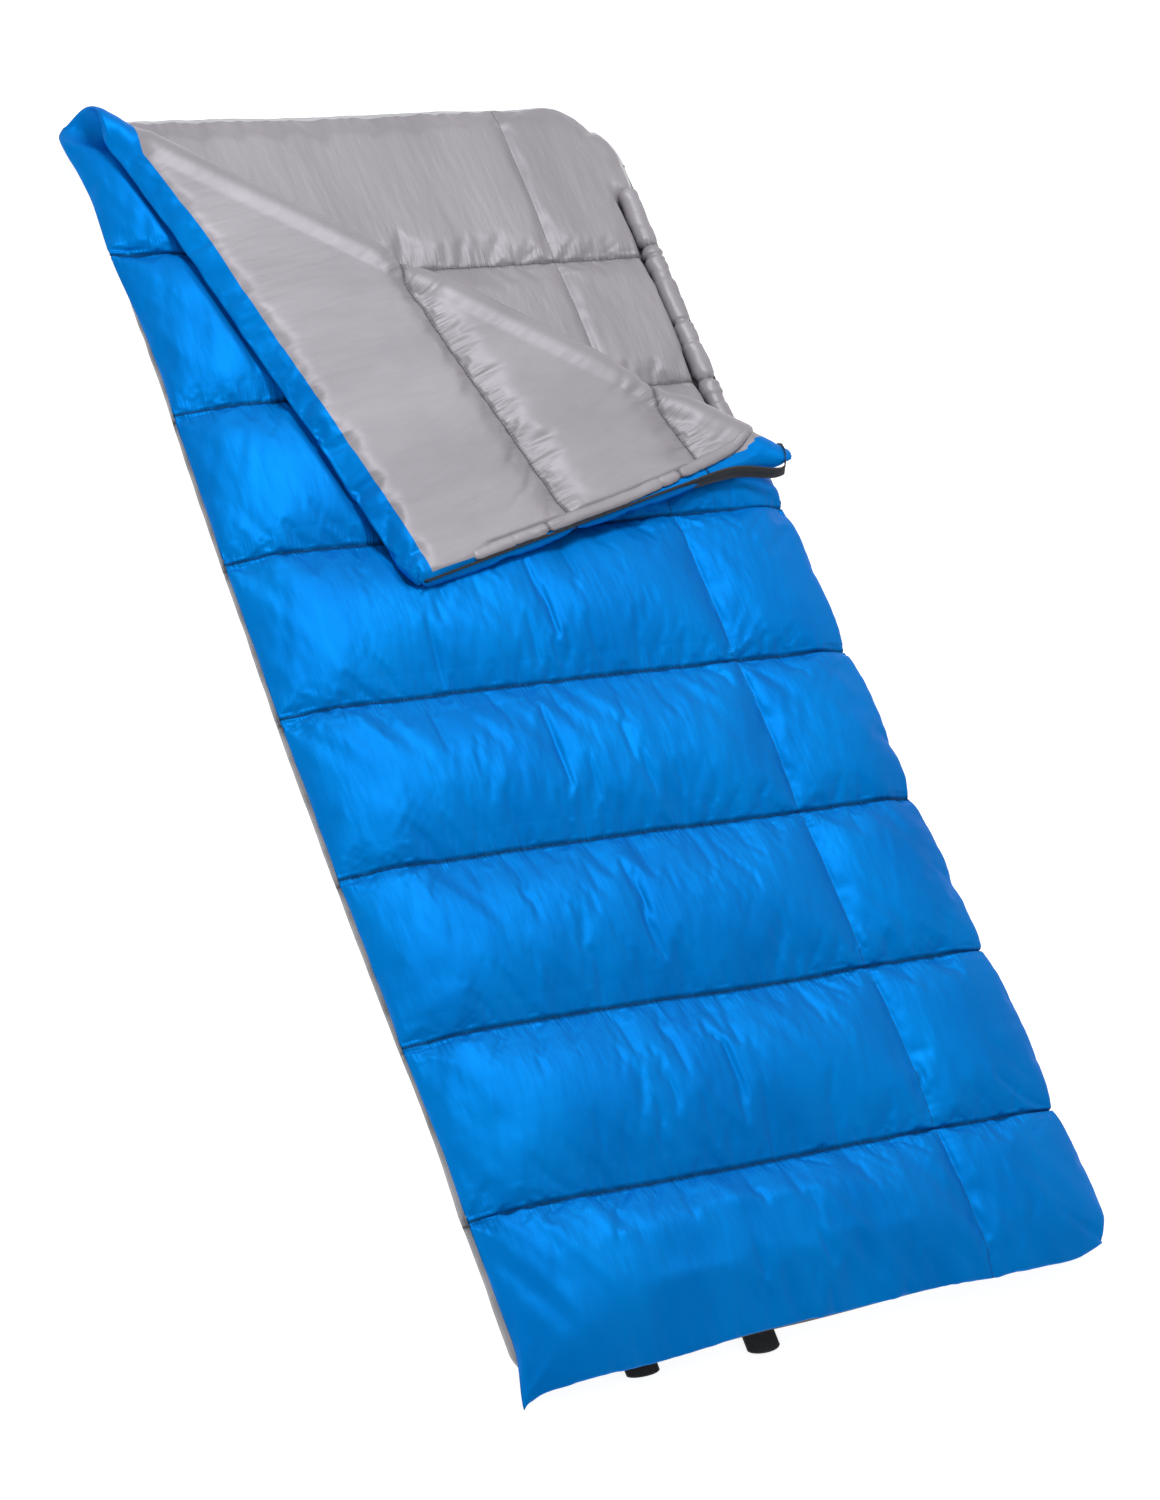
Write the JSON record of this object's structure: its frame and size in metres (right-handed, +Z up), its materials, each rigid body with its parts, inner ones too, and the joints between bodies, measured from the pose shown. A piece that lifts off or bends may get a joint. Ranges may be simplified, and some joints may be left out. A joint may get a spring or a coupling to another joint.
{
  "type": "rectangular sleeping bag",
  "caption": "Rectangular quilted sleeping bag lying flat, its head corner folded back, with a side and foot zip, draft tube and foot straps.",
  "frame": {"origin": "on the ground under the middle of the bag", "axes": "+X across the bag towards the zip, +Y along the bag towards the head, +Z up"},
  "size_m": [0.8596, 1.9136, 0.0906],
  "materials": {
    "blue_shell": "satin woven polyester",
    "grey_lining": "satin woven polyester",
    "grey_shell": "satin woven polyester",
    "insulation": "lofted polyester batting",
    "blue_thread": "sewing thread",
    "grey_thread": "sewing thread",
    "black_tape": "woven tape",
    "black_webbing": "woven webbing",
    "black_coil": "moulded coil",
    "black_metal": "satin enamel"
  },
  "bodies": {
    "root": {"bottom_shell": "grey_shell", "bottom_fill": "insulation", "bottom_lining": "grey_lining", "bottom_quilting": "grey_thread", "draft_tube": "grey_lining", "side_seam_binding": "grey_shell", "lower_zip_tape": "black_tape", "lower_zip_coil": "black_coil", "lower_zip_head_stop": "black_metal", "zip_foot_stop": "black_metal", "strap_anchor_left": "black_webbing", "strap_anchor_right": "black_webbing"},
    "top_layer": {"top_shell": "blue_shell", "top_fill": "insulation", "top_lining": "grey_lining", "top_quilting": "blue_thread", "top_zip_facing": "grey_lining", "top_zip_tape": "black_tape", "top_zip_coil": "black_coil", "fold_lining": "grey_lining", "fold_fill": "insulation"},
    "head_flap": {"flap_shell": "blue_shell", "flap_fill": "insulation", "flap_lining": "grey_lining", "flap_quilting": "blue_thread", "flap_zip_facing": "grey_lining", "flap_zip_tape": "black_tape", "flap_zip_coil": "black_coil", "flap_zip_head_stop": "black_metal"},
    "slider": {"zip_slider": "black_metal"},
    "pull": {"zip_pull": "black_metal"},
    "strap_loop_left": {"foot_strap_left": "black_webbing"},
    "strap_loop_right": {"foot_strap_right": "black_webbing"}
  },
  "joints": [
    {"name": "side_seam_hinge", "type": "hinge", "parent": "root", "child": "top_layer", "pos_m": [-0.437, 0, 0.03015], "axis": [0, -1, 0], "range_deg": [0, 176]},
    {"name": "head_corner_fold", "type": "hinge", "parent": "top_layer", "child": "head_flap", "pos_m": [0.42, 0.3, 0.06045], "axis": [-0.7909, 0.612, 0], "range_deg": [0, 179.5], "deforming": ["fold_lining", "fold_fill"]},
    {"name": "zip_slide", "type": "slide", "parent": "root", "child": "slider", "axis": [0, 1, 0], "range_m": [-1.12, 0.633]},
    {"name": "pull_swing", "type": "hinge", "parent": "slider", "child": "pull", "pos_m": [0.4195, 0.278, 0.03015], "axis": [0, 0, 1], "range_deg": [0, 175]},
    {"name": "foot_strap_left_bend", "type": "hinge", "parent": "root", "child": "strap_loop_left", "pos_m": [-0.252, -0.9303, 0.0018], "axis": [-1, 0, 0], "range_deg": [0, 90]},
    {"name": "foot_strap_right_bend", "type": "hinge", "parent": "root", "child": "strap_loop_right", "pos_m": [-0.084, -0.9303, 0.0018], "axis": [-1, 0, 0], "range_deg": [0, 90]}
  ]
}
